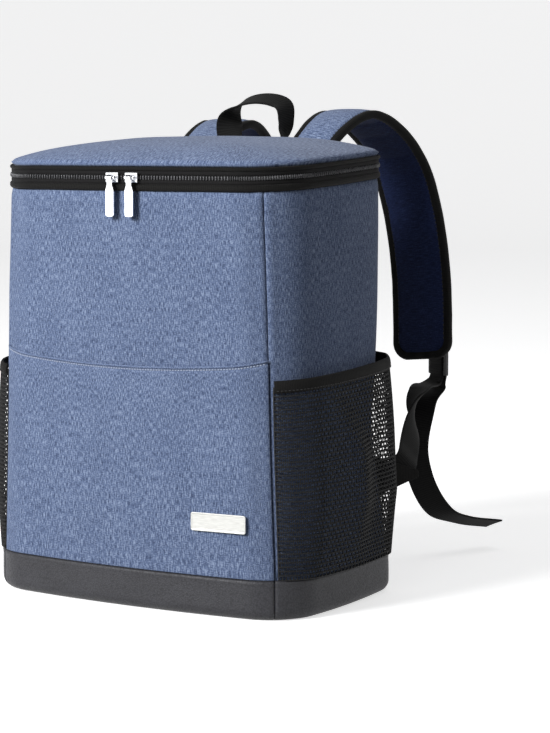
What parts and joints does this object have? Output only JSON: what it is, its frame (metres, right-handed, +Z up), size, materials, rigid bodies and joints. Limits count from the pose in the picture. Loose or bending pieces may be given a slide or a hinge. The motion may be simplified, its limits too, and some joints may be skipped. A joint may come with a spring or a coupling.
{
  "type": "cooler backpack",
  "caption": "Insulated cloth cooler backpack with a domed zipped lid, leathercloth base, front pocket, net side pockets, top handle and padded shoulder straps; stands by itself.",
  "frame": {"origin": "middle of the underside of the base, where it rests on the floor", "axes": "+Z up, -Y towards the front with the pocket, +X towards the bag's side that is at the right seen from the front"},
  "size_m": [0.364, 0.4472, 0.4564],
  "materials": {
    "blue_cloth": "matt two-tone woven polyester",
    "navy_cloth": "matt woven polyester",
    "leathercloth": "coated cloth, fine grain, low sheen",
    "black_binding": "matt woven tape",
    "black_webbing": "ribbed webbing",
    "black_net": "open knitted net",
    "black_plastic": "moulded",
    "nickel": "polished nickel plate",
    "plate_metal": "satin, bare"
  },
  "bodies": {
    "bag": {"bottom_panel": "leathercloth", "base_band_front": "leathercloth", "base_band_right": "leathercloth", "base_band_left": "leathercloth", "base_band_back": "leathercloth", "front_panel": "blue_cloth", "side_panel_right": "blue_cloth", "side_panel_left": "blue_cloth", "back_panel": "navy_cloth", "zip_binding_lower": "black_binding", "zip_tape_lower": "black_binding", "zip_teeth": "black_plastic", "zip_tape_upper": "black_binding", "zip_binding_upper": "black_binding", "lid": "blue_cloth", "front_pocket": "blue_cloth", "label_plate": "plate_metal", "side_net_right": "black_net", "side_net_binding_right": "black_binding", "side_net_left": "black_net", "side_net_binding_left": "black_binding", "zip_slider_left": "nickel", "zip_slider_right": "nickel", "top_handle": "black_webbing", "strap_pad_right": "blue_cloth", "strap_binding_right": "black_binding", "buckle_right": "black_plastic", "buckle_loop_right": "black_webbing", "gusset_right": "black_webbing", "strap_webbing_right": "black_webbing", "webbing_tail_right": "black_webbing", "strap_pad_left": "blue_cloth", "strap_binding_left": "black_binding", "buckle_left": "black_plastic", "buckle_loop_left": "black_webbing", "gusset_left": "black_webbing", "strap_webbing_left": "black_webbing", "webbing_tail_left": "black_webbing"},
    "pull_left": {"pull_tab_left": "nickel"},
    "pull_right": {"pull_tab_right": "nickel"}
  },
  "joints": [
    {"name": "pull_left_swing", "type": "hinge", "parent": "bag", "child": "pull_left", "pos_m": [-0.0102, -0.1079, 0.3799], "axis": [-1, 0, 0], "range_deg": [0, 140]},
    {"name": "pull_right_swing", "type": "hinge", "parent": "bag", "child": "pull_right", "pos_m": [0.0102, -0.1079, 0.3799], "axis": [-1, 0, 0], "range_deg": [0, 140]}
  ]
}
